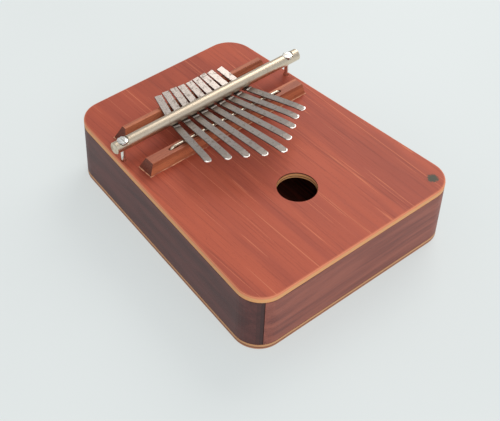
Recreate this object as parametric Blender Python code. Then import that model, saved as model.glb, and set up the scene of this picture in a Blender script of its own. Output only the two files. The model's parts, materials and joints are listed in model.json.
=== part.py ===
# A box kalimba: a shallow wooden resonator with nine steel tines held between
# two wooden bridges by a round steel rod, which two long screws pull down.
# Metres, +Z up. X runs across the box along the rod, -Y is the end with the
# sound hole, +Y is the far end. The origin is at the middle of the underside.

import math

import bmesh
import bpy
from mathutils import Matrix, Vector

# Resonator box
BODY_LENGTH = 0.190
FRONT_WIDTH = 0.1594
REAR_WIDTH = 0.1272
BODY_HEIGHT = 0.0440
FRONT_CORNER_RADIUS = 0.0163
REAR_CORNER_RADIUS = 0.0175
TOP_THICKNESS = 0.0040
BOTTOM_THICKNESS = 0.0040
SIDE_BOARD_THICKNESS = 0.0087
END_BOARD_THICKNESS = 0.0090
TOP_EDGE_RADIUS = 0.0012
BOTTOM_EDGE_RADIUS = 0.0008
SEAT_GAP = 0.0003
CORNER_SEGMENTS = 12
TOP_EDGE_STEPS = 3
BOTTOM_EDGE_STEPS = 2
FLAT_SMOOTH_DEG = 25
ROUND_SMOOTH_DEG = 40
TOUCH = 1e-6
WELD = 1e-7

# Sound hole
HOLE_RADIUS = 0.0123
HOLE_FROM_FRONT = 0.0550
HOLE_SEGMENTS = 48

# Pressure rod and its two screws
ROD_FROM_REAR = 0.0527
ROD_RADIUS = 0.00375
ROD_LENGTH = 0.1445
ROD_SHIFT = 0.0010
ROD_STANDOFF = 0.0084
ROD_END_CHAMFER = 0.0005
ROD_SEGMENTS = 40
SCREW_FROM_EDGE = 0.0031
SCREW_SHANK_RADIUS = 0.0014
SCREW_BORE_CLEARANCE = 0.0004
SCREW_HEAD_RADIUS = 0.0033
SCREW_HEAD_HEIGHT = 0.0014
SCREW_SEAT_ABOVE_AXIS = 0.0019
SCREW_POCKET_CLEARANCE = 0.0004
SCREW_DEPTH_IN_BOX = 0.0180
SCREW_POINT_LENGTH = 0.0035
SCREW_SEGMENTS = 24
SCREW_DOME = 0.25
SCREW_SHOULDER = 0.85
SCREW_SHOULDER_DROP = 0.3
SCREW_CROWN = 0.5
SLOT_WIDTH = 0.0010
SLOT_DEPTH = 0.0007
LEFT_SLOT_TURN_DEG = 0.0
RIGHT_SLOT_TURN_DEG = 22.0

# Front bridge, a bar with sloped faces and bevelled ends
FRONT_BRIDGE_HEIGHT = 0.0080
FRONT_BRIDGE_BASE = 0.0113
FRONT_BRIDGE_CREST = 0.0067
FRONT_BRIDGE_REAR_SLOPE = 0.0036
FRONT_BRIDGE_LENGTH = 0.1228
FRONT_BRIDGE_END_BEVEL = 0.0024

# Rear bridge, of the same stock with a narrower crest
REAR_BRIDGE_HEIGHT = 0.0092
REAR_BRIDGE_BASE = 0.0113
REAR_BRIDGE_CREST = 0.0030
REAR_BRIDGE_REAR_SLOPE = 0.0037
REAR_BRIDGE_LENGTH = 0.1150
REAR_BRIDGE_END_BEVEL = 0.0036
REAR_BRIDGE_FROM_ROD = 0.0140

# Bridge wire, a round rod lying along the front crest, its ends turned down
WIRE_FROM_ROD = 0.0174
WIRE_RADIUS = 0.0009
WIRE_SINK = 0.0003
WIRE_LENGTH = 0.0880
WIRE_BEND_RADIUS = 0.0030
WIRE_LEG = 0.0050
WIRE_CREST_OFFSET = 0.0004
WIRE_SEGMENTS = 16
WIRE_BEND_STEPS = 6
SLOT_OVERRUN = 0.0020

# Tines
TINE_THICKNESS = 0.0010
TINE_WIDTH = 0.0047
TINE_TAIL_WIDTH = 0.0049
TINE_PITCH = 0.00776
TINE_ROW_SHIFT = 0.00095
TINE_FAN = 0.0511
TINE_RISE = 0.183
TINE_DROOP = 0.30
TINE_TIP_BEND = 0.0007
TINE_TIP_BEND_LENGTH = 0.0100
TINE_TIP_ROUND = 0.0021
TINE_TIP_THICKNESS = 0.0007
TINE_EDGE_CHAMFER = 0.00018
CRIMP_FROM_ROD = 0.0037
CRIMP_RUN = 0.0010
CRIMP_HEIGHT = 0.0005
TINE_FLAT_FRONT = 0.0026
TINE_FLAT_REAR = 0.0008
TINE_STATIONS = 12
TAIL_STATIONS = 3
TIP_STEPS = 5
TIP_SQUARENESS = 5.4
# For each tine from left to right: reach past the wire, tail behind the rod,
# and how far it was set sideways at the wire and turned, by hand
TINE_SET = (
    (0.0288, 0.0216, -0.0006, -0.015),
    (0.0352, 0.0219, 0.0004, 0.009),
    (0.0411, 0.0217, 0.0005, 0.005),
    (0.0476, 0.0210, -0.0001, -0.005),
    (0.0530, 0.0206, 0.0000, -0.007),
    (0.0457, 0.0209, -0.0001, -0.001),
    (0.0387, 0.0211, 0.0000, 0.007),
    (0.0326, 0.0206, -0.0003, 0.004),
    (0.0289, 0.0197, 0.0002, -0.013),
)

# Places that follow from the sizes above
FRONT_Y = -BODY_LENGTH / 2
REAR_Y = BODY_LENGTH / 2
TOP_Z = BODY_HEIGHT
ROD_Y = REAR_Y - ROD_FROM_REAR
ROD_Z = TOP_Z + ROD_STANDOFF + ROD_RADIUS
WIRE_Y = ROD_Y - WIRE_FROM_ROD
HOLE_Y = FRONT_Y + HOLE_FROM_FRONT
TAPER = (FRONT_WIDTH - REAR_WIDTH) / 2 / BODY_LENGTH
TAPER_ANGLE = math.atan(TAPER)
WIRE_Z = TOP_Z + SEAT_GAP + FRONT_BRIDGE_HEIGHT - WIRE_SINK + WIRE_RADIUS


def half_width(y):
    """Half the width of the box at y, before the corners are rounded."""
    return FRONT_WIDTH / 2 - TAPER * (y - FRONT_Y)


SCREW_X = half_width(ROD_Y) - SCREW_FROM_EDGE


def clear_scene():
    """Remove every object of the open file."""
    for thing in list(bpy.data.objects):
        bpy.data.objects.remove(thing, do_unlink=True)


def make_material(name, colour, roughness, metallic):
    """A Principled material with one colour."""
    material = bpy.data.materials.new(name)
    material.use_nodes = True
    shader = material.node_tree.nodes["Principled BSDF"]
    shader.inputs["Base Color"].default_value = (*colour, 1.0)
    shader.inputs["Roughness"].default_value = roughness
    shader.inputs["Metallic"].default_value = metallic
    material.diffuse_color = (*colour, 1.0)
    return material


def add_object(name, bm, material=None, origin=(0.0, 0.0, 0.0), smooth_deg=None):
    """Turn a bmesh in world places into an object whose origin is given."""
    bmesh.ops.recalc_face_normals(bm, faces=bm.faces)
    mesh = bpy.data.meshes.new(name)
    bmesh.ops.translate(bm, verts=bm.verts, vec=-Vector(origin))
    bm.to_mesh(mesh)
    bm.free()
    thing = bpy.data.objects.new(name, mesh)
    thing.location = origin
    bpy.context.scene.collection.objects.link(thing)
    if material is not None:
        mesh.materials.append(material)
    if smooth_deg is not None:
        mesh.shade_smooth()
        mesh.set_sharp_from_angle(angle=math.radians(smooth_deg))
    return thing


def cut(target, cutter):
    """Cut one object with another and hide the cutter."""
    boolean = target.modifiers.new("cut_" + cutter.name, "BOOLEAN")
    boolean.operation = "DIFFERENCE"
    boolean.solver = "EXACT"
    boolean.object = cutter
    cutter.hide_render = True
    cutter.display_type = "WIRE"


def cylinder(bm, radius, depth, matrix, segments, radius_top=None):
    """Add a closed cylinder or cone along local Z, centred on the matrix."""
    bmesh.ops.create_cone(
        bm,
        cap_ends=True,
        segments=segments,
        radius1=radius,
        radius2=radius if radius_top is None else radius_top,
        depth=depth,
        matrix=matrix,
    )


def fillet(corner, before, after, radius, segments):
    """Points of an arc that rounds a corner of a polygon."""
    to_before = (before - corner).normalized()
    to_after = (after - corner).normalized()
    half_angle = to_before.angle(to_after) / 2
    centre = corner + (to_before + to_after).normalized() * radius / math.sin(half_angle)
    start = corner + to_before * radius / math.tan(half_angle)
    sweep = math.pi - 2 * half_angle
    points = []
    for step in range(segments + 1):
        turned = Matrix.Rotation(sweep * step / segments, 2) @ (start - centre)
        points.append(centre + turned)
    return points


def box_outline():
    """The plan of the box: a trapezium with rounded corners, anticlockwise."""
    corners = (
        (Vector((-FRONT_WIDTH / 2, FRONT_Y)), FRONT_CORNER_RADIUS),
        (Vector((FRONT_WIDTH / 2, FRONT_Y)), FRONT_CORNER_RADIUS),
        (Vector((REAR_WIDTH / 2, REAR_Y)), REAR_CORNER_RADIUS),
        (Vector((-REAR_WIDTH / 2, REAR_Y)), REAR_CORNER_RADIUS),
    )
    count = len(corners)
    points = []
    for index, (corner, radius) in enumerate(corners):
        before = corners[index - 1][0]
        after = corners[(index + 1) % count][0]
        points += fillet(corner, before, after, radius, CORNER_SEGMENTS)
    return points


def outline_prism(low, high):
    """The box's plan drawn up from one height to another."""
    bm = bmesh.new()
    lower = [bm.verts.new((point.x, point.y, low)) for point in box_outline()]
    face = bm.faces.new(lower)
    result = bmesh.ops.extrude_face_region(bm, geom=[face])
    raised = [item for item in result["geom"] if isinstance(item, bmesh.types.BMVert)]
    bmesh.ops.translate(bm, verts=raised, vec=(0.0, 0.0, high - low))
    return bm


def keep_side(bm, point, normal):
    """Keep the part of a closed mesh behind a plane, and close the cut."""
    geometry = bm.verts[:] + bm.edges[:] + bm.faces[:]
    result = bmesh.ops.bisect_plane(
        bm, geom=geometry, dist=WELD, plane_co=point, plane_no=normal, clear_outer=True
    )
    edges = [item for item in result["geom_cut"] if isinstance(item, bmesh.types.BMEdge)]
    bmesh.ops.contextual_create(bm, geom=edges)


def bevel_rim(bm, height, radius, segments):
    """Round the edges of a prism that lie at one height."""
    edges = [
        edge for edge in bm.edges
        if all(abs(vert.co.z - height) < TOUCH for vert in edge.verts)
    ]
    bmesh.ops.bevel(
        bm, geom=edges, offset=radius, segments=segments, profile=0.5, affect="EDGES"
    )


def side_plane(side, offset):
    """A point and the outward normal of a plane set in from one long side."""
    normal = Vector((side * math.cos(TAPER_ANGLE), math.sin(TAPER_ANGLE), 0.0))
    point = Vector((side * FRONT_WIDTH / 2, FRONT_Y, 0.0)) - normal * offset
    return point, normal


def screw_bore(name, low, high, radius):
    """A cutter with one round bore for each screw."""
    bm = bmesh.new()
    for side in (-1, 1):
        place = Matrix.Translation((side * SCREW_X, ROD_Y, (low + high) / 2))
        cylinder(bm, radius, high - low, place, SCREW_SEGMENTS)
    return add_object(name, bm)


def build_box(materials):
    """The two plates and the four boards."""
    board_low = BOTTOM_THICKNESS + SEAT_GAP
    board_high = TOP_Z - TOP_THICKNESS - SEAT_GAP
    bore_radius = SCREW_SHANK_RADIUS + SCREW_BORE_CLEARANCE

    bm = outline_prism(TOP_Z - TOP_THICKNESS, TOP_Z)
    bevel_rim(bm, TOP_Z, TOP_EDGE_RADIUS, TOP_EDGE_STEPS)
    top = add_object("top_plate", bm, materials["plate"], smooth_deg=FLAT_SMOOTH_DEG)
    bm = bmesh.new()
    middle = TOP_Z - TOP_THICKNESS / 2
    cylinder(bm, HOLE_RADIUS, 2 * TOP_THICKNESS, Matrix.Translation((0, HOLE_Y, middle)),
             HOLE_SEGMENTS)
    cut(top, add_object("sound_hole_cutter", bm))
    cut(top, screw_bore("top_bore_cutter", middle - TOP_THICKNESS,
                        middle + TOP_THICKNESS, bore_radius))

    bm = outline_prism(0.0, BOTTOM_THICKNESS)
    bevel_rim(bm, 0.0, BOTTOM_EDGE_RADIUS, BOTTOM_EDGE_STEPS)
    add_object("bottom_plate", bm, materials["plate"], smooth_deg=FLAT_SMOOTH_DEG)

    bore_low = TOP_Z - SCREW_DEPTH_IN_BOX - 2 * SEAT_GAP
    bore_cutter = screw_bore("board_bore_cutter", bore_low, TOP_Z, bore_radius)
    for side, word in ((-1, "left"), (1, "right")):
        bm = outline_prism(board_low, board_high)
        point, normal = side_plane(side, SIDE_BOARD_THICKNESS)
        keep_side(bm, point, -normal)
        board = add_object("side_board_" + word, bm, materials["board"], smooth_deg=FLAT_SMOOTH_DEG)
        cut(board, bore_cutter)
    for direction, word in ((-1, "front"), (1, "rear")):
        bm = outline_prism(board_low, board_high)
        for side in (-1, 1):
            point, normal = side_plane(side, SIDE_BOARD_THICKNESS + SEAT_GAP)
            keep_side(bm, point, normal)
        inner = direction * (BODY_LENGTH / 2 - END_BOARD_THICKNESS)
        keep_side(bm, (0.0, inner, 0.0), (0.0, -direction, 0.0))
        add_object("end_board_" + word, bm, materials["board"], smooth_deg=FLAT_SMOOTH_DEG)


def bridge_mesh(length, end_bevel, base_front, base, crest, rear_slope, height):
    """A bar with four sloped faces, standing a seat gap above the top plate."""
    base_rear = base_front + base
    crest_rear = base_rear - rear_slope
    crest_front = crest_rear - crest
    low = TOP_Z + SEAT_GAP
    bm = bmesh.new()
    rings = []
    for half, front, rear, z in (
        (length / 2, base_front, base_rear, low),
        (length / 2 - end_bevel, crest_front, crest_rear, low + height),
    ):
        ring = [bm.verts.new(place) for place in (
            (-half, front, z), (half, front, z), (half, rear, z), (-half, rear, z))]
        rings.append(ring)
        bm.faces.new(ring)
    for index in range(4):
        after = (index + 1) % 4
        bm.faces.new((rings[0][index], rings[0][after], rings[1][after], rings[1][index]))
    return bm


def build_bridges(materials):
    """The front bridge with the wire's groove and slots, and the rear bridge."""
    crest_middle = WIRE_Y - WIRE_CREST_OFFSET
    crest_rear = crest_middle + FRONT_BRIDGE_CREST / 2
    base_front = crest_rear + FRONT_BRIDGE_REAR_SLOPE - FRONT_BRIDGE_BASE
    bm = bridge_mesh(FRONT_BRIDGE_LENGTH, FRONT_BRIDGE_END_BEVEL, base_front,
                     FRONT_BRIDGE_BASE, FRONT_BRIDGE_CREST, FRONT_BRIDGE_REAR_SLOPE,
                     FRONT_BRIDGE_HEIGHT)
    front = add_object("front_bridge", bm, materials["bridge"])

    groove_radius = WIRE_RADIUS + SEAT_GAP
    slot_outer = WIRE_LENGTH / 2 + SEAT_GAP
    bm = bmesh.new()
    along_x = Matrix.Rotation(math.pi / 2, 4, "Y")
    run = 2 * (slot_outer - groove_radius)
    cylinder(bm, groove_radius, run, Matrix.Translation((0, WIRE_Y, WIRE_Z)) @ along_x,
             WIRE_SEGMENTS)
    cut(front, add_object("wire_groove_cutter", bm, smooth_deg=ROUND_SMOOTH_DEG))

    bm = bmesh.new()
    slot_low = WIRE_Z - WIRE_BEND_RADIUS - WIRE_LEG + WIRE_RADIUS - SEAT_GAP
    slot_high = TOP_Z + 2 * FRONT_BRIDGE_HEIGHT
    slot_run = WIRE_BEND_RADIUS + SLOT_OVERRUN
    for side in (-1, 1):
        add_capsule(bm, side * (slot_outer - groove_radius),
                    side * (slot_outer - groove_radius - slot_run),
                    WIRE_Y, groove_radius, slot_low, slot_high)
    cut(front, add_object("wire_slot_cutter", bm))

    crest_front = ROD_Y + REAR_BRIDGE_FROM_ROD - REAR_BRIDGE_CREST / 2
    base_front = crest_front + REAR_BRIDGE_CREST + REAR_BRIDGE_REAR_SLOPE - REAR_BRIDGE_BASE
    bm = bridge_mesh(REAR_BRIDGE_LENGTH, REAR_BRIDGE_END_BEVEL, base_front,
                     REAR_BRIDGE_BASE, REAR_BRIDGE_CREST, REAR_BRIDGE_REAR_SLOPE,
                     REAR_BRIDGE_HEIGHT)
    add_object("rear_bridge", bm, materials["bridge"])


def add_capsule(bm, first_x, last_x, y, radius, low, high):
    """Add an upright prism with round ends, between two places along X."""
    left, right = sorted((first_x, last_x))
    half = WIRE_SEGMENTS // 2
    points = []
    for step in range(half + 1):
        angle = -math.pi / 2 + math.pi * step / half
        points.append((right + radius * math.cos(angle), y + radius * math.sin(angle)))
    for step in range(half + 1):
        angle = math.pi / 2 + math.pi * step / half
        points.append((left + radius * math.cos(angle), y + radius * math.sin(angle)))
    lower = [bm.verts.new((x, py, low)) for x, py in points]
    upper = [bm.verts.new((x, py, high)) for x, py in points]
    bm.faces.new(lower)
    bm.faces.new(upper)
    for index in range(len(points)):
        after = (index + 1) % len(points)
        bm.faces.new((lower[index], lower[after], upper[after], upper[index]))


def build_wire(materials):
    """A round wire along the crest whose ends turn down into the slots."""
    half = WIRE_LENGTH / 2 - WIRE_RADIUS
    path = [(-half, WIRE_Z - WIRE_BEND_RADIUS - WIRE_LEG + 2 * WIRE_RADIUS)]
    for step in range(WIRE_BEND_STEPS + 1):
        angle = math.pi - math.pi / 2 * step / WIRE_BEND_STEPS
        path.append((-half + WIRE_BEND_RADIUS + WIRE_BEND_RADIUS * math.cos(angle),
                     WIRE_Z - WIRE_BEND_RADIUS + WIRE_BEND_RADIUS * math.sin(angle)))
    path += [(-x, z) for x, z in reversed(path)]
    bm = bmesh.new()
    rings = []
    for index, (x, z) in enumerate(path):
        ahead = Vector(path[min(index + 1, len(path) - 1)])
        behind = Vector(path[max(index - 1, 0)])
        tangent = (ahead - behind).normalized()
        across = Vector((-tangent.y, tangent.x))
        ring = []
        for step in range(WIRE_SEGMENTS):
            angle = 2 * math.pi * step / WIRE_SEGMENTS
            out = WIRE_RADIUS * math.cos(angle)
            ring.append(bm.verts.new((x + across.x * out,
                                      WIRE_Y + WIRE_RADIUS * math.sin(angle),
                                      z + across.y * out)))
        rings.append(ring)
    bm.faces.new(rings[0])
    bm.faces.new(rings[-1])
    for first, second in zip(rings, rings[1:]):
        for step in range(WIRE_SEGMENTS):
            after = (step + 1) % WIRE_SEGMENTS
            bm.faces.new((first[step], first[after], second[after], second[step]))
    add_object("bridge_wire", bm, materials["steel"], (0.0, WIRE_Y, WIRE_Z),
               ROUND_SMOOTH_DEG)


def build_rod(materials):
    """The pressure rod, chamfered, with a pocket and a bore for each screw."""
    bm = bmesh.new()
    along_x = Matrix.Rotation(math.pi / 2, 4, "Y")
    centre = Vector((ROD_SHIFT, ROD_Y, ROD_Z))
    cylinder(bm, ROD_RADIUS, ROD_LENGTH, Matrix.Translation(centre) @ along_x, ROD_SEGMENTS)
    end_edges = [
        edge for edge in bm.edges
        if abs(edge.verts[0].co.x - edge.verts[1].co.x) < TOUCH
    ]
    bmesh.ops.bevel(bm, geom=end_edges, offset=ROD_END_CHAMFER, segments=1, affect="EDGES")
    rod = add_object("pressure_rod", bm, materials["steel"], centre, ROUND_SMOOTH_DEG)

    bm = bmesh.new()
    pocket_floor = ROD_Z + SCREW_SEAT_ABOVE_AXIS
    pocket_high = ROD_Z + 2 * ROD_RADIUS
    pocket_radius = SCREW_HEAD_RADIUS + SCREW_POCKET_CLEARANCE
    for side in (-1, 1):
        place = Matrix.Translation((side * SCREW_X, ROD_Y, (pocket_floor + pocket_high) / 2))
        cylinder(bm, pocket_radius, pocket_high - pocket_floor, place, 2 * SCREW_SEGMENTS)
    cut(rod, add_object("pocket_cutter", bm))
    cut(rod, screw_bore("rod_bore_cutter", ROD_Z - 2 * ROD_RADIUS, ROD_Z + ROD_RADIUS,
                        SCREW_SHANK_RADIUS + SCREW_BORE_CLEARANCE))


def build_screws(materials):
    """Two long slotted screws that pull the rod down onto the tines."""
    head_low = ROD_Z + SCREW_SEAT_ABOVE_AXIS + SEAT_GAP
    head_high = head_low + SCREW_HEAD_HEIGHT
    tip = TOP_Z - SCREW_DEPTH_IN_BOX
    dome = SCREW_HEAD_HEIGHT * SCREW_DOME
    profile = (
        (0.0, tip),
        (SCREW_SHANK_RADIUS, tip + SCREW_POINT_LENGTH),
        (SCREW_SHANK_RADIUS, head_low),
        (SCREW_HEAD_RADIUS, head_low),
        (SCREW_HEAD_RADIUS, head_high - dome),
        (SCREW_HEAD_RADIUS * SCREW_SHOULDER, head_high - dome * SCREW_SHOULDER_DROP),
        (SCREW_HEAD_RADIUS * SCREW_CROWN, head_high),
        (0.0, head_high),
    )
    for side, word, turn in ((-1, "left", LEFT_SLOT_TURN_DEG), (1, "right", RIGHT_SLOT_TURN_DEG)):
        axis = Vector((side * SCREW_X, ROD_Y, 0.0))
        bm = bmesh.new()
        rings = []
        for radius, z in profile:
            if radius == 0.0:
                rings.append([bm.verts.new(axis + Vector((0.0, 0.0, z)))])
                continue
            rings.append([
                bm.verts.new(axis + Vector((
                    radius * math.cos(2 * math.pi * step / SCREW_SEGMENTS),
                    radius * math.sin(2 * math.pi * step / SCREW_SEGMENTS), z)))
                for step in range(SCREW_SEGMENTS)
            ])
        for first, second in zip(rings, rings[1:]):
            for step in range(SCREW_SEGMENTS):
                after = (step + 1) % SCREW_SEGMENTS
                if len(first) == 1:
                    bm.faces.new((first[0], second[after], second[step]))
                elif len(second) == 1:
                    bm.faces.new((first[step], first[after], second[0]))
                else:
                    bm.faces.new((first[step], first[after], second[after], second[step]))
        origin = axis + Vector((0.0, 0.0, head_low))
        screw = add_object("clamp_screw_" + word, bm, materials["screw"], origin, FLAT_SMOOTH_DEG)
        bm = bmesh.new()
        turned = Matrix.Rotation(math.radians(turn), 4, "Z")
        size = Matrix.Diagonal((SLOT_WIDTH, 4 * SCREW_HEAD_RADIUS, 2 * SLOT_DEPTH, 1.0))
        place = Matrix.Translation(axis + Vector((0.0, 0.0, head_high)))
        bmesh.ops.create_cube(bm, size=1.0, matrix=place @ turned @ size)
        cut(screw, add_object("slot_cutter_" + word, bm))


def tine_profile(reach, tail):
    """Distance along the tine from the rod, forward, and the top's height."""
    valley = ROD_Z - ROD_RADIUS - SEAT_GAP
    wire_top = WIRE_Z + WIRE_RADIUS + SEAT_GAP + TINE_THICKNESS
    rear_edge = REAR_BRIDGE_FROM_ROD - REAR_BRIDGE_CREST / 2
    rear_top = TOP_Z + SEAT_GAP + REAR_BRIDGE_HEIGHT + SEAT_GAP + TINE_THICKNESS
    tail_rise = (rear_top - valley) / (rear_edge - TINE_FLAT_REAR)
    points = []
    for step in range(TAIL_STATIONS + 1):
        past_flat = (tail - TINE_FLAT_REAR) * (1 - step / TAIL_STATIONS)
        points.append((-TINE_FLAT_REAR - past_flat, valley + tail_rise * past_flat))

    def front_height(distance):
        past_wire = distance - WIRE_FROM_ROD
        droop = TINE_DROOP * past_wire * past_wire if past_wire > 0 else 0.0
        bend_start = WIRE_FROM_ROD + reach - TINE_TIP_BEND_LENGTH
        share = max(0.0, (distance - bend_start) / TINE_TIP_BEND_LENGTH)
        return wire_top + TINE_RISE * past_wire - droop - TINE_TIP_BEND * share * share

    crest = CRIMP_FROM_ROD
    points.append((TINE_FLAT_FRONT, valley))
    points.append((crest, front_height(crest) + CRIMP_HEIGHT))
    first = crest + CRIMP_RUN
    last = WIRE_FROM_ROD + reach
    for step in range(TINE_STATIONS + 1):
        distance = first + (last - TINE_TIP_ROUND - first) * step / TINE_STATIONS
        points.append((distance, front_height(distance)))
    for step in range(1, TIP_STEPS + 1):
        sweep = math.pi / 2 * step / TIP_SQUARENESS
        distance = last - TINE_TIP_ROUND + TINE_TIP_ROUND * math.sin(sweep)
        points.append((distance, front_height(distance)))
    return points


def tine_section(half_width_here, thickness):
    """Corners of the tine's section, with small chamfers, across and up."""
    c = min(TINE_EDGE_CHAMFER, half_width_here / 3, thickness / 3)
    w = half_width_here
    return (
        (-w, -c), (-w + c, 0.0), (w - c, 0.0), (w, -c),
        (w, c - thickness), (w - c, -thickness), (-w + c, -thickness), (-w, c - thickness),
    )


def build_tines(materials):
    """Nine steel strips, fanned, bent under the rod and over the wire."""
    middle = (len(TINE_SET) - 1) / 2
    for index, (reach, tail, aside, turn) in enumerate(TINE_SET):
        place = index - middle
        slope = TINE_FAN * place + turn
        forward = Vector((slope, -1.0, 0.0)).normalized()
        across = Vector((-forward.y, forward.x, 0.0))
        wire_point = Vector((TINE_ROW_SHIFT + TINE_PITCH * place + aside, WIRE_Y, 0.0))
        rod_point = wire_point - forward * (WIRE_FROM_ROD / -forward.y)
        stretch = 1.0 / -forward.y
        last = WIRE_FROM_ROD + reach
        bm = bmesh.new()
        rings = []
        for distance, height in tine_profile(reach, tail):
            share = max(0.0, (distance - last + TINE_TIP_ROUND) / TINE_TIP_ROUND)
            width = TINE_TAIL_WIDTH if distance < 0 else TINE_WIDTH
            half = width / 2 * math.sqrt(max(0.0, 1 - share * share))
            past = max(0.0, (distance - last + TINE_TIP_BEND_LENGTH) / TINE_TIP_BEND_LENGTH)
            thickness = TINE_THICKNESS + (TINE_TIP_THICKNESS - TINE_THICKNESS) * past
            centre = rod_point + forward * distance * stretch
            ring = []
            for aside_here, up in tine_section(half, thickness):
                spot = centre + across * aside_here
                ring.append(bm.verts.new((spot.x, spot.y, height + up)))
            rings.append(ring)
        bm.faces.new(rings[0])
        bm.faces.new(rings[-1])
        corners = len(rings[0])
        for first, second in zip(rings, rings[1:]):
            for step in range(corners):
                after = (step + 1) % corners
                bm.faces.new((first[step], first[after], second[after], second[step]))
        origin = (rod_point.x, rod_point.y, ROD_Z - ROD_RADIUS)
        add_object("tine_%d" % (index + 1), bm, materials["tine"], origin, FLAT_SMOOTH_DEG)


def main():
    """Build the whole kalimba."""
    clear_scene()
    materials = {
        "plate": make_material("red_plywood", (0.47, 0.13, 0.075), 0.42, 0.0),
        "board": make_material("dark_side_wood", (0.16, 0.055, 0.04), 0.5, 0.0),
        "bridge": make_material("bridge_wood", (0.46, 0.15, 0.08), 0.5, 0.0),
        "steel": make_material("tarnished_steel", (0.52, 0.46, 0.38), 0.3, 1.0),
        "screw": make_material("bright_screw_steel", (0.78, 0.76, 0.73), 0.25, 1.0),
        "tine": make_material("aged_spring_steel", (0.34, 0.31, 0.28), 0.38, 1.0),
    }
    build_box(materials)
    build_bridges(materials)
    build_wire(materials)
    build_rod(materials)
    build_screws(materials)
    build_tines(materials)


if __name__ == "__main__":
    main()
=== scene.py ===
# The looks of a box kalimba: the finishes of its plywood, boards, bridges and
# steel, the glue at the feet of its bridges, a pale floor, lamps and a camera.
# Metres, +Z up, in the same frame as the solids. X runs along the rod, -Y is
# the end with the sound hole, and z = 0 is the underside of the box.

import json
import logging
import math
from dataclasses import dataclass, field
from enum import Enum

import bmesh
import bpy
from mathutils import Matrix, Vector


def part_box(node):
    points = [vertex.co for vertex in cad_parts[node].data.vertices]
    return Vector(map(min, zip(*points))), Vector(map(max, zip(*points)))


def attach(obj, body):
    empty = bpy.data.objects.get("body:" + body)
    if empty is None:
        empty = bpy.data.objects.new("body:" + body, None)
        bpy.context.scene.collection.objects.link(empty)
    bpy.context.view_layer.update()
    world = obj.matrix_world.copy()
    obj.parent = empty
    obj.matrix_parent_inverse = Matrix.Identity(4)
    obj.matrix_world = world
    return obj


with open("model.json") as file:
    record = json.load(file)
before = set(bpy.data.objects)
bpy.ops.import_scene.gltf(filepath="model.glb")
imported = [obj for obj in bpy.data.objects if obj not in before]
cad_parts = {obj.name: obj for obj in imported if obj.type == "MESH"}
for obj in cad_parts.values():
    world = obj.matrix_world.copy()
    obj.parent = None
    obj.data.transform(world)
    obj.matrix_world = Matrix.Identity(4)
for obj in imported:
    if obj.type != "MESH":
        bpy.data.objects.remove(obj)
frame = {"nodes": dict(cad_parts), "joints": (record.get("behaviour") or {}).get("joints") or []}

LOG = logging.getLogger("kalimba")
MILLIMETRE = 0.001
TOUCH = 1e-6
IMAGE_WIDTH = 500
SMOOTH_DEG = 45
MIX_FACTOR, MIX_UNDER, MIX_OVER, MIX_RESULT = 0, 6, 7, 2

Colour = tuple[float, float, float]
Plan = tuple[float, float]
Rise = tuple[float, float]
Socket = bpy.types.NodeSocket

NO_SHIFT: Colour = (0.0, 0.0, 0.0)


def linear(red: int, green: int, blue: int) -> Colour:
    """Turn a display colour into the linear colour that shaders take.

    Args:
        red: Red, 0 to 255.
        green: Green, 0 to 255.
        blue: Blue, 0 to 255.

    Returns:
        The same colour as three linear values from 0 to 1.
    """
    def channel(value: int) -> float:
        """One channel, from display to linear."""
        share = value / 255
        if share <= 0.04045:
            return share / 12.92
        return ((share + 0.055) / 1.055) ** 2.4

    return channel(red), channel(green), channel(blue)


def millimetres(first: float, second: float) -> Rise:
    """Two lengths in millimetres, as metres."""
    return first * MILLIMETRE, second * MILLIMETRE


class Grain(Enum):
    """The direction in which wood's fibres or steel's draw lines run."""

    ALONG_X = 0
    ALONG_Y = 1


@dataclass(frozen=True)
class Cloud:
    """Noise, by its repeats per metre on each axis and its octaves."""

    scale: Colour
    detail: float
    roughness: float = 0.55
    distortion: float = 0.0


@dataclass(frozen=True)
class Fibre:
    """Noise drawn out along a grain, by its repeats along and across it."""

    along: float
    across: float
    detail: float
    roughness: float
    distortion: float = 0.0

    def cloud(self, grain: Grain, fineness: float = 1.0) -> Cloud:
        """The noise for one direction of the grain.

        Args:
            grain: The direction.
            fineness: What the repeats across are multiplied by.

        Returns:
            The noise, with its scale on each axis.
        """
        across = self.across * fineness
        if grain is Grain.ALONG_X:
            scale = (self.along, across, across)
        else:
            scale = (across, self.along, across)
        return Cloud(scale, self.detail, self.roughness, self.distortion)


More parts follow.
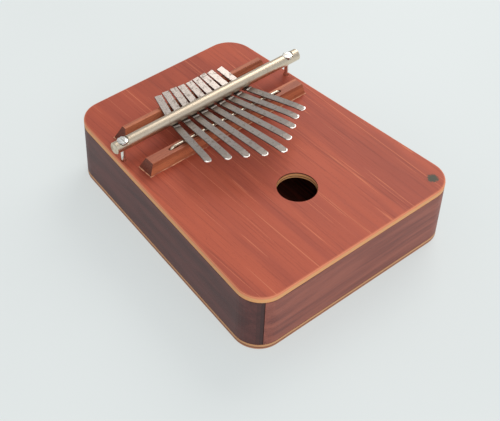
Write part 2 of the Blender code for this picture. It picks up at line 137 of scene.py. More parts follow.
class FinishGraph:
    """One material and the nodes that make its colour, sheen and relief."""

    def __init__(self, name: str) -> None:
        """Start a material with its shader and the piece's own coordinates.

        Args:
            name: The material's name.
        """
        self.material = bpy.data.materials.new(name)
        self.material.use_nodes = True
        self.tree = self.material.node_tree
        self.shader = self.tree.nodes["Principled BSDF"]
        coordinates = self.tree.nodes.new("ShaderNodeTexCoord").outputs
        self.place = coordinates["Object"]
        self.x, self.y, self.z = self.split(self.place)
        self.facing_x, self.facing_y, self.facing_z = self.split(coordinates["Normal"])

    def split(self, vector: Socket) -> list[Socket]:
        """The three parts of a vector."""
        node = self.tree.nodes.new("ShaderNodeSeparateXYZ")
        self.tree.links.new(vector, node.inputs[0])
        return list(node.outputs)

    def put(self, socket: Socket, value: Socket | float | Colour) -> None:
        """Set an input to a number or colour, or link it to an output.

        Args:
            socket: The input.
            value: A number, a colour, a vector, or the output to link.
        """
        if isinstance(value, bpy.types.NodeSocket):
            self.tree.links.new(value, socket)
        elif isinstance(value, (int, float)):
            socket.default_value = value
        elif len(socket.default_value) == len(value):
            socket.default_value = value
        else:
            socket.default_value = (*value, 1.0)

    def calc(self, operation: str, first: Socket | float,
             second: Socket | float = 0.0) -> Socket:
        """Do one sum on two values.

        Args:
            operation: The kind of sum, such as ADD or MAXIMUM.
            first: The first value.
            second: The second value.

        Returns:
            The output with the result.
        """
        node = self.tree.nodes.new("ShaderNodeMath")
        node.operation = operation
        self.put(node.inputs[0], first)
        self.put(node.inputs[1], second)
        return node.outputs[0]

    def plus(self, first: Socket | float, second: Socket | float) -> Socket:
        """The sum of two values."""
        return self.calc("ADD", first, second)

    def minus(self, first: Socket | float, second: Socket | float) -> Socket:
        """The first value less the second."""
        return self.calc("SUBTRACT", first, second)

    def times(self, first: Socket | float, second: Socket | float) -> Socket:
        """The product of two values."""
        return self.calc("MULTIPLY", first, second)

    def squares(self, first: Socket, second: Socket) -> Socket:
        """The sum of two values' squares."""
        return self.plus(self.times(first, first), self.times(second, second))

    def step(self, value: Socket, rise: Rise) -> Socket:
        """A smooth rise from 0 to 1 as a value goes from one number to another.

        Args:
            value: The value that is tested.
            rise: Where the rise starts and ends. It is a fall where the first is higher.

        Returns:
            The output with the rise.
        """
        node = self.tree.nodes.new("ShaderNodeMapRange")
        node.interpolation_type = "SMOOTHSTEP"
        falls = rise[1] < rise[0]
        self.put(node.inputs["Value"], value)
        self.put(node.inputs["From Min"], min(rise))
        self.put(node.inputs["From Max"], max(rise))
        self.put(node.inputs["To Min"], 1.0 if falls else 0.0)
        self.put(node.inputs["To Max"], 0.0 if falls else 1.0)
        return node.outputs["Result"]

    def noise(self, cloud: Cloud, shift: Colour = NO_SHIFT) -> Socket:
        """Noise around 0.5, in the piece's own coordinates.

        Args:
            cloud: How fine and how rough it is.
            shift: What is added to the scaled coordinates.

        Returns:
            The output with the noise.
        """
        mapping = self.tree.nodes.new("ShaderNodeMapping")
        self.put(mapping.inputs["Vector"], self.place)
        self.put(mapping.inputs["Scale"], cloud.scale)
        self.put(mapping.inputs["Location"], shift)
        node = self.tree.nodes.new("ShaderNodeTexNoise")
        self.put(node.inputs["Vector"], mapping.outputs[0])
        self.put(node.inputs["Scale"], 1.0)
        self.put(node.inputs["Detail"], cloud.detail)
        self.put(node.inputs["Roughness"], cloud.roughness)
        self.put(node.inputs["Distortion"], cloud.distortion)
        return node.outputs["Fac"]

    def cover(self, mask: Socket, under: Socket | Colour, over: Socket | Colour,
              strength: float = 1.0) -> Socket:
        """Lay one colour over another where a mask is 1.

        Args:
            mask: How much of the upper colour shows.
            under: The lower colour.
            over: The upper colour.
            strength: What the mask is multiplied by.

        Returns:
            The output with the colour.
        """
        node = self.tree.nodes.new("ShaderNodeMix")
        node.data_type = "RGBA"
        node.clamp_factor = True
        whole = strength == 1.0
        self.put(node.inputs[MIX_FACTOR], mask if whole else self.times(mask, strength))
        self.put(node.inputs[MIX_UNDER], under)
        self.put(node.inputs[MIX_OVER], over)
        return node.outputs[MIX_RESULT]

    def relief(self, height: Socket, depth: float, strength: float) -> None:
        """Give the surface a fine relief.

        Args:
            height: The relief's height, from 0 to 1.
            depth: The depth of a height of 1, in metres.
            strength: How strongly it shades.
        """
        node = self.tree.nodes.new("ShaderNodeBump")
        self.put(node.inputs["Height"], height)
        self.put(node.inputs["Distance"], depth)
        self.put(node.inputs["Strength"], strength)
        self.put(self.shader.inputs["Normal"], node.outputs[0])

    def finish(self, colour: Socket, roughness: Socket, metallic: float = 0.0,
               specular: float = 0.5) -> bpy.types.Material:
        """Set the shader's main inputs.

        Args:
            colour: The base colour.
            roughness: The roughness.
            metallic: 1 for bare metal, else 0.
            specular: The strength of the sheen of a surface that isn't metal.

        Returns:
            The finished material.
        """
        self.put(self.shader.inputs["Base Color"], colour)
        self.put(self.shader.inputs["Roughness"], roughness)
        self.put(self.shader.inputs["Metallic"], metallic)
        self.put(self.shader.inputs["Specular IOR Level"], specular)
        return self.material


@dataclass(frozen=True)
class SolidWood:
    """Open-grained wood with darker streaks, pores and darker end grain.

    The layers' repeats across the grain are multiples of the streaks per metre.
    """

    name: str
    grain: Grain
    pale: Colour
    deep: Colour
    end: Colour
    streaks: float = 420.0
    pore_strength: float = 0.25
    shift: Colour = NO_SHIFT
    bands: Fibre = Fibre(9.0, 0.35, 3.0, 0.5, 0.6)
    lines: Fibre = Fibre(26.0, 3.0, 5.0, 0.65, 0.2)
    pores: Fibre = Fibre(260.0, 9.0, 2.0, 0.6)
    end_dots: Cloud = Cloud((2600.0, 2600.0, 2600.0), 3.0, 0.6)
    band_share: float = 0.6
    line_share: float = 0.4
    tone_rise: Rise = (0.36, 0.64)
    pore_rise: Rise = (0.42, 0.32)
    end_rise: Rise = (0.55, 0.9)
    dot_rise: Rise = (0.35, 0.7)
    roughness: float = 0.42
    line_roughness: float = 0.16
    pore_depth: float = 0.4
    relief_depth: float = 0.12 * MILLIMETRE
    relief_strength: float = 0.5
    specular: float = 0.4

    def material(self) -> bpy.types.Material:
        """Make the material.

        Returns:
            The finished wood.
        """
        graph = FinishGraph(self.name)
        bands = graph.noise(self.bands.cloud(self.grain, self.streaks), self.shift)
        lines = graph.noise(self.lines.cloud(self.grain, self.streaks), self.shift)
        pores = graph.noise(self.pores.cloud(self.grain, self.streaks), self.shift)
        both = graph.plus(graph.times(bands, self.band_share),
                          graph.times(lines, self.line_share))
        colour = graph.cover(graph.step(both, self.tone_rise), self.deep, self.pale)
        pits = graph.step(pores, self.pore_rise)
        colour = graph.cover(pits, colour, self.end, self.pore_strength)
        facing = graph.facing_x if self.grain is Grain.ALONG_X else graph.facing_y
        on_end = graph.step(graph.calc("ABSOLUTE", facing), self.end_rise)
        dots = graph.step(graph.noise(self.end_dots), self.dot_rise)
        colour = graph.cover(on_end, colour, graph.cover(dots, self.end, self.deep))
        rough = graph.plus(self.roughness, graph.times(lines, self.line_roughness))
        height = graph.minus(lines, graph.times(pits, self.pore_depth))
        graph.relief(height, self.relief_depth, self.relief_strength)
        return graph.finish(colour, rough, specular=self.specular)


@dataclass(frozen=True)
class VeneeredTop:
    """Red-brown veneer with scratches and one dent over a pale layered core; the salmon band
    along its rounded top edge is partly wear showing the core and partly a painted highlight.

    The layers are placed by their depth below the top, and the dent in plan.
    """

    name: str
    top: float
    hole_y: float
    hole_radius: float
    dent: Plan
    light: Colour = linear(184, 88, 62)
    middle: Colour = linear(166, 78, 58)
    dark: Colour = linear(126, 56, 42)
    core: Colour = linear(236, 163, 106)
    # Salmon, for the scratches, the core's streaks and the band along the rounded top edge,
    # where it is partly wear and partly a painted highlight.
    arris: Colour = linear(226, 140, 104)
    lower: Colour = linear(222, 172, 120)
    wall_veneer: Colour = linear(104, 54, 40)
    glue: Colour = linear(84, 44, 30)
    bruise: Colour = linear(78, 74, 60)
    bands: Fibre = Fibre(4.5, 55.0, 3.0, 0.5, 0.9)
    lines: Fibre = Fibre(16.0, 900.0, 5.0, 0.7, 0.15)
    flecks: Fibre = Fibre(420.0, 3200.0, 2.0, 0.6)
    patches: Fibre = Fibre(9.0, 14.0, 2.0, 0.5)
    scratches: Fibre = Fibre(5.0, 420.0, 2.0, 0.4, 2.2)
    pores: Fibre = Fibre(90.0, 2400.0, 3.0, 0.7)
    scratch_shift: Colour = (3.1, 0.7, 0.0)
    band_rise: Rise = (0.33, 0.68)
    line_rise: Rise = (0.5, 0.3)
    line_strength: float = 0.55
    fleck_rise: Rise = (0.4, 0.28)
    fleck_strength: float = 0.35
    patch_rise: Rise = (0.52, 0.75)
    patch_strength: float = 0.3
    scratch_rise: Rise = (0.665, 0.69)
    scratch_strength: float = 0.45
    dent_noise: Cloud = Cloud((900.0, 900.0, 900.0), 3.0, 0.6)
    dent_raggedness: float = 5.0 * MILLIMETRE
    dent_rise: Rise = millimetres(6.6, 5.0)
    dent_depth: float = 1.5
    wobble_noise: Cloud = Cloud((260.0, 260.0, 40.0), 2.0)
    wobble: float = 0.3 * MILLIMETRE
    core_noise: Cloud = Cloud((300.0, 300.0, 2200.0), 4.0, 0.65)
    core_rise: Rise = (0.62, 0.35)
    core_streak_rise: Rise = (0.42, 0.3)
    core_streak_strength: float = 0.5
    arris_rise: Rise = millimetres(1.2, 0.7)
    hole_reach: float = 1.5 * MILLIMETRE
    wall_veneer_rise: Rise = millimetres(0.9, 0.65)
    glue_line_start: Rise = millimetres(2.35, 2.5)
    glue_line_end: Rise = millimetres(2.95, 2.8)
    face_rise: Rise = (0.93, 0.985)
    roughness: float = 0.42
    pore_roughness: float = 0.2
    scratch_roughness: float = 0.3
    relief_depth: float = 0.06 * MILLIMETRE
    relief_strength: float = 0.4
    specular: float = 0.2

    def face(self, graph: FinishGraph) -> tuple[Socket, Socket]:
        """The veneer's colour and its scratches.

        Args:
            graph: The material that it is drawn in.

        Returns:
            The colour and the mask of the scratches.
        """
        bands = graph.noise(self.bands.cloud(Grain.ALONG_Y))
        colour = graph.cover(graph.step(bands, self.band_rise), self.middle, self.light)
        for fibre, rise, strength in (
            (self.lines, self.line_rise, self.line_strength),
            (self.flecks, self.fleck_rise, self.fleck_strength),
            (self.patches, self.patch_rise, self.patch_strength),
        ):
            mask = graph.step(graph.noise(fibre.cloud(Grain.ALONG_Y)), rise)
            colour = graph.cover(mask, colour, self.dark, strength)
        scratches = graph.noise(self.scratches.cloud(Grain.ALONG_Y), self.scratch_shift)
        mark = graph.times(graph.step(scratches, self.scratch_rise), self.scratch_strength)
        return graph.cover(mark, colour, self.arris), mark

    def dent_mask(self, graph: FinishGraph) -> Socket:
        """The mask of the dent at the front right corner.

        Args:
            graph: The material that it is drawn in.

        Returns:
            The output with the mask.
        """
        away = graph.calc("SQRT", graph.squares(graph.minus(graph.x, self.dent[0]),
                                                graph.minus(graph.y, self.dent[1])))
        ragged = graph.times(graph.noise(self.dent_noise), self.dent_raggedness)
        return graph.step(graph.plus(away, ragged), self.dent_rise)

    def edge(self, graph: FinishGraph) -> Socket:
        """The colour of the plate's layers, by their depth below the top.

        Args:
            graph: The material that they are drawn in.

        Returns:
            The colour of the edge and of the sound hole's wall.
        """
        wobble = graph.times(graph.noise(self.wobble_noise), self.wobble)
        depth = graph.minus(self.top, graph.plus(graph.z, wobble))
        fibre = graph.noise(self.core_noise)
        core = graph.cover(graph.step(fibre, self.core_rise), self.core, self.lower)
        core = graph.cover(graph.step(fibre, self.core_streak_rise), core, self.arris,
                           self.core_streak_strength)
        # The salmon band just below the top along the rounded edge: partly wear showing the
        # core, partly a painted highlight.
        rim = graph.cover(graph.step(depth, self.arris_rise), core, self.arris)
        wall = graph.cover(graph.step(depth, self.wall_veneer_rise), core, self.wall_veneer)
        line = graph.times(graph.step(depth, self.glue_line_start),
                           graph.step(depth, self.glue_line_end))
        wall = graph.cover(line, wall, self.glue)
        square = graph.squares(graph.x, graph.minus(graph.y, self.hole_y))
        in_hole = graph.calc("LESS_THAN", square, (self.hole_radius + self.hole_reach) ** 2)
        return graph.cover(in_hole, rim, wall)

    def material(self) -> bpy.types.Material:
        """Make the material.

        Returns:
            The finished plate.
        """
        graph = FinishGraph(self.name)
        face, mark = self.face(graph)
        dent = self.dent_mask(graph)
        face = graph.cover(dent, face, self.bruise)
        on_top = graph.step(graph.facing_z, self.face_rise)
        colour = graph.cover(on_top, self.edge(graph), face)
        pores = graph.noise(self.pores.cloud(Grain.ALONG_Y))
        rough = graph.plus(self.roughness, graph.times(pores, self.pore_roughness))
        rough = graph.plus(rough, graph.times(mark, self.scratch_roughness))
        height = graph.minus(pores, graph.times(dent, self.dent_depth))
        graph.relief(graph.minus(height, mark), self.relief_depth, self.relief_strength)
        return graph.finish(colour, rough, specular=self.specular)


@dataclass(frozen=True)
class LayeredBase:
    """The base plate: a pale upper and lower layer with a dark line between them."""

    name: str
    line_height: float
    upper: Colour = linear(214, 158, 112)
    under: Colour = linear(188, 124, 88)
    line: Colour = linear(92, 52, 38)
    skin: Colour = linear(150, 74, 58)
    wobble_noise: Cloud = Cloud((200.0, 200.0, 60.0), 3.0)
    wobble: float = 0.5 * MILLIMETRE
    core_noise: Cloud = Cloud((240.0, 240.0, 2600.0), 4.0, 0.7)
    skin_lines: Fibre = Fibre(18.0, 900.0, 5.0, 0.7)
    layer_rise: Rise = millimetres(0.1, 0.4)
    line_start: Rise = millimetres(-0.25, -0.05)
    line_end: Rise = millimetres(0.5, 0.3)
    streak_rise: Rise = (0.5, 0.3)
    streak_strength: float = 0.6
    skin_rise: Rise = (0.35, 0.65)
    face_rise: Rise = (0.93, 0.985)
    roughness: float = 0.42
    streak_roughness: float = 0.2
    relief_depth: float = 0.08 * MILLIMETRE
    relief_strength: float = 0.4
    specular: float = 0.35

    def material(self) -> bpy.types.Material:
        """Make the material.

        Returns:
            The finished plate.
        """
        graph = FinishGraph(self.name)
        wobble = graph.times(graph.noise(self.wobble_noise), self.wobble)
        height = graph.plus(graph.minus(graph.z, self.line_height), wobble)
        fibre = graph.noise(self.core_noise)
        colour = graph.cover(graph.step(height, self.layer_rise), self.under, self.upper)
        band = graph.times(graph.step(height, self.line_start),
                           graph.step(height, self.line_end))
        colour = graph.cover(band, colour, self.line)
        colour = graph.cover(graph.step(fibre, self.streak_rise), colour, self.under,
                             self.streak_strength)
        lines = graph.noise(self.skin_lines.cloud(Grain.ALONG_Y))
        skin = graph.cover(graph.step(lines, self.skin_rise), self.line, self.skin)
        flat = graph.step(graph.calc("ABSOLUTE", graph.facing_z), self.face_rise)
        colour = graph.cover(flat, colour, skin)
        rough = graph.plus(self.roughness, graph.times(fibre, self.streak_roughness))
        graph.relief(fibre, self.relief_depth, self.relief_strength)
        return graph.finish(colour, rough, specular=self.specular)


@dataclass(frozen=True)
class BareSteel:
    """Steel with draw lines, patches of tarnish and specks of rust, and where asked a painted
    dark reflection that darkens its upward-facing side.
    """

    name: str
    bright: Colour
    tarnish: Colour
    speck: Colour
    drawn: Grain
    patches: float
    tarnished: float
    roughness: float = 0.28
    # How much the upward-facing side is darkened with the tarnish colour: a painted dark
    # reflection, not tarnish.
    top_painted_dark_reflection: float = 0.0
    shift: Colour = NO_SHIFT
    draw_lines: Fibre = Fibre(60.0, 4200.0, 3.0, 0.6)
    patch_detail: float = 5.0
    patch_roughness: float = 0.65
    patch_distortion: float = 0.4
    specks: Cloud = Cloud((3400.0, 3400.0, 3400.0), 2.0, 0.5)
    clean_level: float = 0.75
    tarnished_share: float = 0.5
    patch_rise: Rise = (-0.08, 0.12)
    top_reflection_rise: Rise = (0.55, 0.95)
    line_rise: Rise = (0.5, 0.3)
    line_strength: float = 0.3
    speck_rise: Rise = (0.62, 0.74)
    speck_strength: float = 0.7
    stain_roughness: float = 0.16
    line_roughness: float = 0.08
    speck_height: float = 0.6
    relief_depth: float = 0.02 * MILLIMETRE
    relief_strength: float = 0.35

    def surface(self, graph: FinishGraph) -> tuple[Socket, Socket]:
        """The steel's colour and roughness.

        Args:
            graph: The material that it is drawn in.

        Returns:
            The colour and the roughness.
        """
        lines = graph.noise(self.draw_lines.cloud(self.drawn), self.shift)
        patches = Cloud((self.patches,) * 3, self.patch_detail, self.patch_roughness,
                        self.patch_distortion)
        specks = graph.noise(self.specks, self.shift)
        level = self.clean_level - self.tarnished * self.tarnished_share
        stained = graph.step(graph.noise(patches, self.shift),
                             (level + self.patch_rise[0], level + self.patch_rise[1]))
        # Darken the upward-facing side with the tarnish colour as a painted dark reflection;
        # from here the mask holds both real tarnish and this painted shade.
        if self.top_painted_dark_reflection > 0:
            up = graph.times(graph.step(graph.facing_z, self.top_reflection_rise), self.top_painted_dark_reflection)
            stained = graph.calc("MAXIMUM", stained, up)
        colour = graph.cover(stained, self.bright, self.tarnish)
        colour = graph.cover(graph.step(lines, self.line_rise), colour, self.tarnish,
                             self.line_strength)
        colour = graph.cover(graph.step(specks, self.speck_rise), colour, self.speck,
                             self.speck_strength)
        rough = graph.plus(self.roughness, graph.times(stained, self.stain_roughness))
        rough = graph.plus(rough, graph.times(lines, self.line_roughness))
        height = graph.plus(lines, graph.times(specks, self.speck_height))
        graph.relief(height, self.relief_depth, self.relief_strength)
        return colour, rough

    def material(self) -> bpy.types.Material:
        """Make the material.

        Returns:
            The finished steel.
        """
        graph = FinishGraph(self.name)
        colour, rough = self.surface(graph)
        return graph.finish(colour, rough, metallic=1.0)


@dataclass(frozen=True)
class TineSteel(BareSteel):
    """A tine's steel, darker towards its end and worn bright round the tip."""

    tip: Plan = (0.0, 0.0)
    heading: Plan = (0.0, -1.0)
    tip_radius: float = 2.2 * MILLIMETRE
    worn: Colour = linear(246, 242, 236)
    end_rise: Rise = millimetres(22.0, 3.0)
    end_strength: float = 0.45
    rim_noise: Cloud = Cloud((1500.0, 1500.0, 1500.0), 2.0)
    rim_raggedness: float = 0.5 * MILLIMETRE
    rim_width: float = 0.35 * MILLIMETRE
    rim_rise: Rise = millimetres(0.0, 0.8)
    rim_polish: float = 0.1

    def rim(self, graph: FinishGraph, to_tip: Socket) -> Socket:
        """The mask of the worn rim round the tip.

        Args:
            graph: The material that it is drawn in.
            to_tip: The distance back from the tip.

        Returns:
            The output with the mask.
        """
        ahead_x, ahead_y = self.heading
        tip_x, tip_y = self.tip
        side = graph.plus(
            graph.minus(graph.times(graph.x, -ahead_y), tip_y * ahead_x - tip_x * ahead_y),
            graph.times(graph.y, ahead_x))
        past_centre = graph.calc("MAXIMUM", graph.minus(self.tip_radius, to_tip), 0.0)
        ring = graph.calc("SQRT", graph.squares(past_centre, side))
        ragged = graph.times(graph.noise(self.rim_noise), self.rim_raggedness)
        worn = graph.step(graph.plus(ring, ragged),
                          (self.tip_radius - self.rim_width, self.tip_radius))
        return graph.times(worn, graph.step(past_centre, self.rim_rise))

    def material(self) -> bpy.types.Material:
        """Make the material.

        Returns:
            The finished steel.
        """
        graph = FinishGraph(self.name)
        colour, rough = self.surface(graph)
        ahead_x, ahead_y = self.heading
        ahead = graph.plus(graph.times(graph.x, ahead_x), graph.times(graph.y, ahead_y))
        to_tip = graph.minus(self.tip[0] * ahead_x + self.tip[1] * ahead_y, ahead)
        colour = graph.cover(graph.step(to_tip, self.end_rise), colour, self.tarnish,
                             self.end_strength)
        rim = self.rim(graph, to_tip)
        colour = graph.cover(rim, colour, self.worn)
        rough = graph.minus(rough, graph.times(rim, self.rim_polish))
        return graph.finish(colour, rough, metallic=1.0)


@dataclass(frozen=True)
class DriedGlue:
    """Glue that was pressed out of a joint and dried, pale and slightly shiny."""

    name: str
    pale: Colour = linear(222, 158, 118)
    stained: Colour = linear(168, 92, 66)
    patches: Cloud = Cloud((120.0, 400.0, 400.0), 4.0, 0.6)
    patch_rise: Rise = (0.4, 0.6)
    roughness: float = 0.3
    patch_roughness: float = 0.2
    relief_depth: float = 0.1 * MILLIMETRE
    relief_strength: float = 0.5

    def material(self) -> bpy.types.Material:
        """Make the material.

        Returns:
            The finished glue.
        """
        graph = FinishGraph(self.name)
        patches = graph.noise(self.patches)
        colour = graph.cover(graph.step(patches, self.patch_rise), self.stained, self.pale)
        graph.relief(patches, self.relief_depth, self.relief_strength)
        rough = graph.plus(self.roughness, graph.times(patches, self.patch_roughness))
        return graph.finish(colour, rough)


def dress(node: str, material: bpy.types.Material) -> None:
    """Give every slot of a carried-over solid one finish.

    Args:
        node: The solid's name.
        material: Its finish.
    """
    slots = frame["nodes"][node].data.materials
    for index in range(len(slots)):
        slots[index] = material
    if not slots:
        slots.append(material)
    LOG.info("dressed %s with %s", node, material.name)


def add_piece(name: str, bm: bmesh.types.BMesh, material: bpy.types.Material,
              body: str) -> bpy.types.Object:
    """Turn a mesh into a piece that rides on a body.

    Args:
        name: The piece's name.
        bm: Its mesh, in place.
        material: Its finish.
        body: The body that it rides on.

    Returns:
        The new object.
    """
    bmesh.ops.recalc_face_normals(bm, faces=bm.faces)
    mesh = bpy.data.meshes.new(name)
    bm.to_mesh(mesh)
    bm.free()
    mesh.shade_smooth()
    mesh.set_sharp_from_angle(angle=math.radians(SMOOTH_DEG))
    mesh.materials.append(material)
    piece = bpy.data.objects.new(name, mesh)
    bpy.context.scene.collection.objects.link(piece)
    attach(piece, body)
    LOG.info("built %s on %s", name, body)
    return piece


@dataclass
class Resonator:
    """The box: two plates and four boards, in their woods."""

    dent_inset: Plan = (0.0105, 0.0100)
    hole_from_front: float = 0.0550
    hole_radius: float = 0.0123
    side_pale: Colour = linear(104, 58, 54)
    side_deep: Colour = linear(76, 42, 40)
    front_pale: Colour = linear(160, 92, 76)
    front_deep: Colour = linear(118, 64, 56)
    end_grain: Colour = linear(46, 32, 31)
    side_shift: Colour = (3.7, 0.0, 1.3)
    front_shift: Colour = (2.9, 0.4, 0.0)

    def dress_plates(self) -> None:
        """Give both plates their finish."""
        low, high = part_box("top_plate")
        dent = (high.x - self.dent_inset[0], low.y + self.dent_inset[1])
        top = VeneeredTop("red_veneer_plate", high.z, low.y + self.hole_from_front,
                          self.hole_radius, dent)
        dress("top_plate", top.material())
        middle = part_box("bottom_plate")[1].z / 2
        dress("bottom_plate", LayeredBase("layered_base_plate", middle).material())

    def dress_boards(self) -> None:
        """Give the four boards their woods, with the grain along each board."""
        for index, word in enumerate(("left", "right")):
            x, y, z = self.side_shift
            wood = SolidWood("long_board_wood_" + word, Grain.ALONG_Y, self.side_pale,
                             self.side_deep, self.end_grain, shift=(index * x, y, z))
            dress("side_board_" + word, wood.material())
        for index, word in enumerate(("front", "rear")):
            x, y, z = self.front_shift
            wood = SolidWood("end_board_wood_" + word, Grain.ALONG_X, self.front_pale,
                             self.front_deep, self.end_grain, shift=(index * x, y, z))
            dress("end_board_" + word, wood.material())

    def build(self) -> None:
        """Dress the whole box."""
        self.dress_plates()
        self.dress_boards()


@dataclass
class Bridges:
    """The two wooden bars, and the glue round their feet."""

    body: str = "box"
    slot: str = "bridge_wood"
    pale: Colour = linear(198, 116, 78)
    deep: Colour = linear(150, 78, 52)
    end: Colour = linear(84, 40, 32)
    streaks: float = 520.0
    pore_strength: float = 0.55
    rear_shift: float = 5.3
    bead: float = 0.4 * MILLIMETRE
    wave: float = 0.12 * MILLIMETRE
    wave_rates: tuple[float, float] = (1.7, 0.63)
    wave_phase: float = 1.0
    shoulder: tuple[float, float] = (0.7, 0.5)
    foot_rise: float = 0.9
    inner_rise: float = 0.7
    segments: int = 90
    least_segments: int = 3

    def bead_ring(self, low: Vector, high: Vector) -> list[Vector]:
        """Points round a bar's foot, evenly along each side.

        Args:
            low: The bar's lowest corner.
            high: Its highest corner.

        Returns:
            The points, anticlockwise, at the foot's height.
        """
        corners = [Vector((low.x, low.y, low.z)), Vector((high.x, low.y, low.z)),
                   Vector((high.x, high.y, low.z)), Vector((low.x, high.y, low.z))]
        points = []
        for index, corner in enumerate(corners):
            along = corners[(index + 1) % len(corners)] - corner
            share = along.length / (high.x - low.x)
            steps = max(self.least_segments, round(self.segments * share))
            points += [corner + along * step / steps for step in range(steps)]
        return points

    def bead_section(self, point: Vector, away: Vector, out: float,
                     floor: float) -> list[Vector]:
        """One section of a glue bead.

        Args:
            point: The point of the bar's foot that it is at.
            away: The way out from the bar, in plan.
            out: How far the bead reaches out.
            floor: The height of the plate that it lies on.

        Returns:
            The section's five corners.
        """
        shoulder_out, shoulder_rise = self.shoulder
        corners = []
        for reach, rise in (
            (-self.bead, 0.0),
            (out, 0.0),
            (out * shoulder_out, out * shoulder_rise),
            (0.0, self.bead * self.foot_rise),
            (-self.bead, self.bead * self.inner_rise),
        ):
            place = point + away * reach
            corners.append(Vector((place.x, place.y, floor + rise)))
        return corners

    def glue_bead(self, bridge: str) -> None:
        """A thin uneven bead of glue round one bar's foot.

        Args:
            bridge: The bar's name.
        """
        low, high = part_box(bridge)
        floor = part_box("top_plate")[1].z
        middle = (low + high) / 2
        half = (high - low) / 2
        fast, slow = self.wave_rates
        bm = bmesh.new()
        rings = []
        for index, point in enumerate(self.bead_ring(low, high)):
            swell = math.sin(index * fast) + math.sin(index * slow + self.wave_phase)
            from_middle = point - middle
            away = Vector([
                math.copysign(1.0, from_middle[axis])
                if abs(from_middle[axis]) > half[axis] - TOUCH else 0.0
                for axis in (0, 1)
            ]).to_3d()
            section = self.bead_section(point, away, self.bead + self.wave * swell, floor)
            rings.append([bm.verts.new(corner) for corner in section])
        count = len(rings[0])
        for first, second in zip(rings, rings[1:] + rings[:1]):
            for step in range(count):
                after = (step + 1) % count
                bm.faces.new((first[step], first[after], second[after], second[step]))
        glue = DriedGlue("dried_glue_" + bridge)
        add_piece("glue_bead_" + bridge, bm, glue.material(), self.body)

    def build(self) -> None:
        """Dress both bars and lay the glue."""
        for index, bridge in enumerate(("front_bridge", "rear_bridge")):
            wood = SolidWood(bridge + "_wood", Grain.ALONG_X, self.pale, self.deep, self.end,
                             self.streaks, self.pore_strength,
                             (index * self.rear_shift, 0.0, 0.0))
            dress(bridge, wood.material())
            self.glue_bead(bridge)


@dataclass
class Hardware:
    """The rod, its screws and the wire, in bare steel."""

    bright: Colour = linear(226, 212, 190)
    tarnish: Colour = linear(160, 140, 118)
    speck: Colour = linear(84, 62, 46)
    screw_bright: Colour = linear(240, 238, 232)
    screw_tarnish: Colour = linear(176, 168, 156)
    rod_patches: float = 70.0
    rod_tarnished: float = 0.3
    # The rod's top is darkened as a painted dark reflection, besides its real tarnish patches.
    rod_top_painted_dark_reflection: float = 0.5
    screw_patches: float = 500.0
    screw_tarnished: float = 0.35
    screw_shift: float = 1.9
    wire_patches: float = 300.0
    wire_tarnished: float = 0.4
    polished: float = 0.22

    def build(self) -> None:
        """Dress the rod, the screws and the wire."""
        # The rod's steel: real tarnish patches plus a painted dark reflection on its
        # upward-facing side.
        rod = BareSteel("rod_steel_tarnish_and_painted_dark_top", self.bright, self.tarnish, self.speck,
                        Grain.ALONG_X, self.rod_patches, self.rod_tarnished,
                        top_painted_dark_reflection=self.rod_top_painted_dark_reflection)
        dress("pressure_rod", rod.material())
        for index, word in enumerate(("left", "right")):
            screw = BareSteel("screw_steel_" + word, self.screw_bright, self.screw_tarnish,
                              self.speck, Grain.ALONG_Y, self.screw_patches,
                              self.screw_tarnished, self.polished,
                              shift=(index * self.screw_shift, 0.0, 0.0))
            dress("clamp_screw_" + word, screw.material())
        wire = BareSteel("bridge_wire_steel", self.bright, self.tarnish, self.speck,
                         Grain.ALONG_X, self.wire_patches, self.wire_tarnished,
                         self.polished)
        dress("bridge_wire", wire.material())


@dataclass
class Tines:
    """Nine tines of aged spring steel, each worn at its tip."""

    count: int = 9
    bright: Colour = linear(158, 149, 142)
    tarnish: Colour = linear(122, 111, 103)
    speck: Colour = linear(66, 56, 50)
    patches: float = 420.0
    tarnished: float = 0.35
    roughness: float = 0.34
    shift: Plan = (2.3, 1.1)
    end_reach: float = 0.3 * MILLIMETRE

    def tip(self, node: str) -> Plan:
        """Where a tine's rounded end is.

        Args:
            node: The tine's name.

        Returns:
            The point at the very end, in plan.
        """
        low_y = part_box(node)[0].y
        ends = [vert.co.x for vert in frame["nodes"][node].data.vertices
                if vert.co.y < low_y + self.end_reach]
        return sum(ends) / len(ends), low_y

    def heading(self, node: str) -> Plan:
        """Which way a tine points, as the slide that tunes it does.

        Args:
            node: The tine's name.

        Returns:
            The direction from its tail to its tip, in plan.
        """
        slide = next(joint for joint in frame["joints"] if joint["name"] == node + "_tune")
        across, along, _ = slide["axis"]
        return across, along

    def build(self) -> None:
        """Dress the nine tines, each with its own tip and heading."""
        for index in range(self.count):
            node = f"tine_{index + 1}"
            shift = (index * self.shift[0], index * self.shift[1], 0.0)
            steel = TineSteel(node + "_steel", self.bright, self.tarnish, self.speck,
                              Grain.ALONG_Y, self.patches, self.tarnished, self.roughness,
                              shift=shift, tip=self.tip(node), heading=self.heading(node))
            dress(node, steel.material())


@dataclass(frozen=True)
class Lamp:
    """A square soft lamp, by its place, side, power in watts and colour."""

    name: str
    place: Colour
    size: float
    power: float
    tint: Colour

    def hang(self, aim: Vector) -> None:
        """Hang the lamp.

        Args:
            aim: The point that it faces.
        """
        light = bpy.data.lights.new(self.name, "AREA")
        light.shape = "SQUARE"
        light.size = self.size
        light.energy = self.power
        light.color = self.tint
        place = Vector(self.place)
        lamp = bpy.data.objects.new(self.name, light)
        lamp.location = place
        lamp.rotation_euler = (aim - place).to_track_quat("-Z", "Y").to_euler()
        bpy.context.scene.collection.objects.link(lamp)


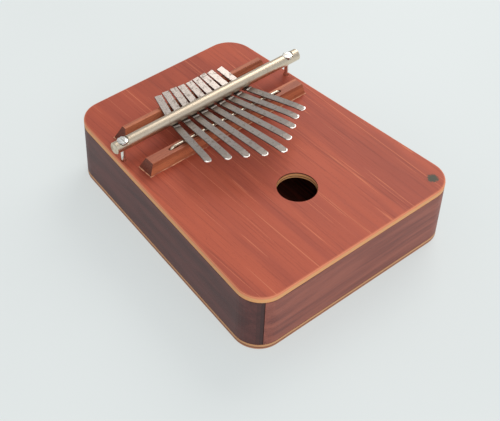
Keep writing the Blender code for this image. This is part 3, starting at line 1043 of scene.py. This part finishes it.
@dataclass
class Studio:
    """A pale floor, soft lamps and the camera."""

    floor_size: float = 6.0
    floor_cells: int = 24
    floor_colour: Colour = linear(228, 233, 232)
    floor_shade: float = 0.97
    floor_clouds: Cloud = Cloud((3.0, 3.0, 3.0), 2.0)
    floor_cloud_rise: Rise = (0.3, 0.7)
    floor_grit: Cloud = Cloud((160.0, 160.0, 160.0), 4.0)
    floor_roughness: float = 0.7
    floor_grit_roughness: float = 0.1
    floor_relief: float = 0.05 * MILLIMETRE
    floor_relief_strength: float = 0.1
    floor_specular: float = 0.1
    floor_glow: float = 0.65
    lamps: tuple[Lamp, ...] = (
        Lamp("key_lamp", (1.15, 0.45, 1.05), 1.0, 15.0, (1.0, 0.985, 0.96)),
        Lamp("fill_lamp", (-0.3, -1.3, 0.9), 1.4, 8.0, (0.96, 0.98, 1.0)),
    )
    aim: Vector = field(default_factory=lambda: Vector((0.0, 0.0, 0.03)))
    room_colour: Colour = (0.93, 0.96, 1.0)
    room_strength: float = 0.6
    focal_pixels: float = 1198.79
    azimuth_deg: float = -42.63
    elevation_deg: float = 45.22
    roll_deg: float = 2.67
    distance: float = 0.74828
    target: Vector = field(default_factory=lambda: Vector((-0.00461, -0.00515, 0.0)))
    sensor: float = 36.0
    nearest: float = 0.01

    def floor_material(self) -> bpy.types.Material:
        """The floor's finish: part of what the camera sees of it is its own plain
        colour, so that it stays pale and its shadow soft without more light.

        Returns:
            The finished floor.
        """
        graph = FinishGraph("pale_floor")
        clouds = graph.step(graph.noise(self.floor_clouds), self.floor_cloud_rise)
        grit = graph.noise(self.floor_grit)
        shaded = tuple(channel * self.floor_shade for channel in self.floor_colour)
        colour = graph.cover(clouds, self.floor_colour, shaded)
        graph.relief(grit, self.floor_relief, self.floor_relief_strength)
        rough = graph.plus(self.floor_roughness,
                           graph.times(grit, self.floor_grit_roughness))
        material = graph.finish(colour, rough, specular=self.floor_specular)
        nodes = graph.tree.nodes
        path = nodes.new("ShaderNodeLightPath").outputs
        seen = graph.calc("MAXIMUM", path["Is Camera Ray"], path["Is Glossy Ray"])
        seen = graph.calc("MAXIMUM", seen, path["Is Transmission Ray"])
        glow = nodes.new("ShaderNodeEmission")
        graph.put(glow.inputs["Color"], colour)
        mixed = nodes.new("ShaderNodeMixShader")
        graph.put(mixed.inputs[0], graph.times(seen, self.floor_glow))
        graph.put(mixed.inputs[1], graph.shader.outputs[0])
        graph.put(mixed.inputs[2], glow.outputs[0])
        graph.put(nodes["Material Output"].inputs["Surface"], mixed.outputs[0])
        return material

    def add_floor(self) -> None:
        """Lay the floor."""
        bm = bmesh.new()
        bmesh.ops.create_grid(bm, x_segments=self.floor_cells, y_segments=self.floor_cells,
                              size=self.floor_size / 2)
        mesh = bpy.data.meshes.new("floor")
        bm.to_mesh(mesh)
        bm.free()
        mesh.materials.append(self.floor_material())
        floor = bpy.data.objects.new("floor", mesh)
        bpy.context.scene.collection.objects.link(floor)

    def add_lamps(self) -> None:
        """Light the object softly from the right, the front and all round."""
        for lamp in self.lamps:
            lamp.hang(self.aim)
        world = bpy.data.worlds.new("pale_room")
        world.use_nodes = True
        background = world.node_tree.nodes["Background"].inputs
        background["Color"].default_value = (*self.room_colour, 1.0)
        background["Strength"].default_value = self.room_strength
        bpy.context.scene.world = world

    def add_camera(self) -> None:
        """Set the camera at the photograph's place, turned and rolled to match."""
        azimuth = math.radians(self.azimuth_deg)
        elevation = math.radians(self.elevation_deg)
        roll = math.radians(self.roll_deg)
        back = Vector((math.sin(azimuth) * math.cos(elevation),
                       -math.cos(azimuth) * math.cos(elevation), math.sin(elevation)))
        across = Vector((0.0, 0.0, 1.0)).cross(back).normalized()
        up = back.cross(across)
        right = across * math.cos(roll) + up * math.sin(roll)
        rise = up * math.cos(roll) - across * math.sin(roll)
        lens = bpy.data.cameras.new("photo_camera")
        lens.sensor_width = self.sensor
        lens.lens = self.sensor * self.focal_pixels / IMAGE_WIDTH
        lens.clip_start = self.nearest
        camera = bpy.data.objects.new("photo_camera", lens)
        turned = Matrix((right, rise, back)).transposed().to_4x4()
        place = self.target + back * self.distance
        camera.matrix_world = Matrix.Translation(place) @ turned
        bpy.context.scene.collection.objects.link(camera)
        bpy.context.scene.camera = camera

    def build(self) -> None:
        """Set up the camera, the floor and the lamps."""
        bpy.context.scene.view_settings.view_transform = "Standard"
        self.add_camera()
        self.add_floor()
        self.add_lamps()
        LOG.info("set up the camera, the floor and the lamps")


def main() -> None:
    """Set up the studio, dress the object and build the pieces on it."""
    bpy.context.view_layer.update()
    Studio().build()
    Resonator().build()
    Bridges().build()
    Hardware().build()
    Tines().build()


if __name__ == "__main__":
    logging.basicConfig(level=logging.INFO, format="%(message)s")
    main()
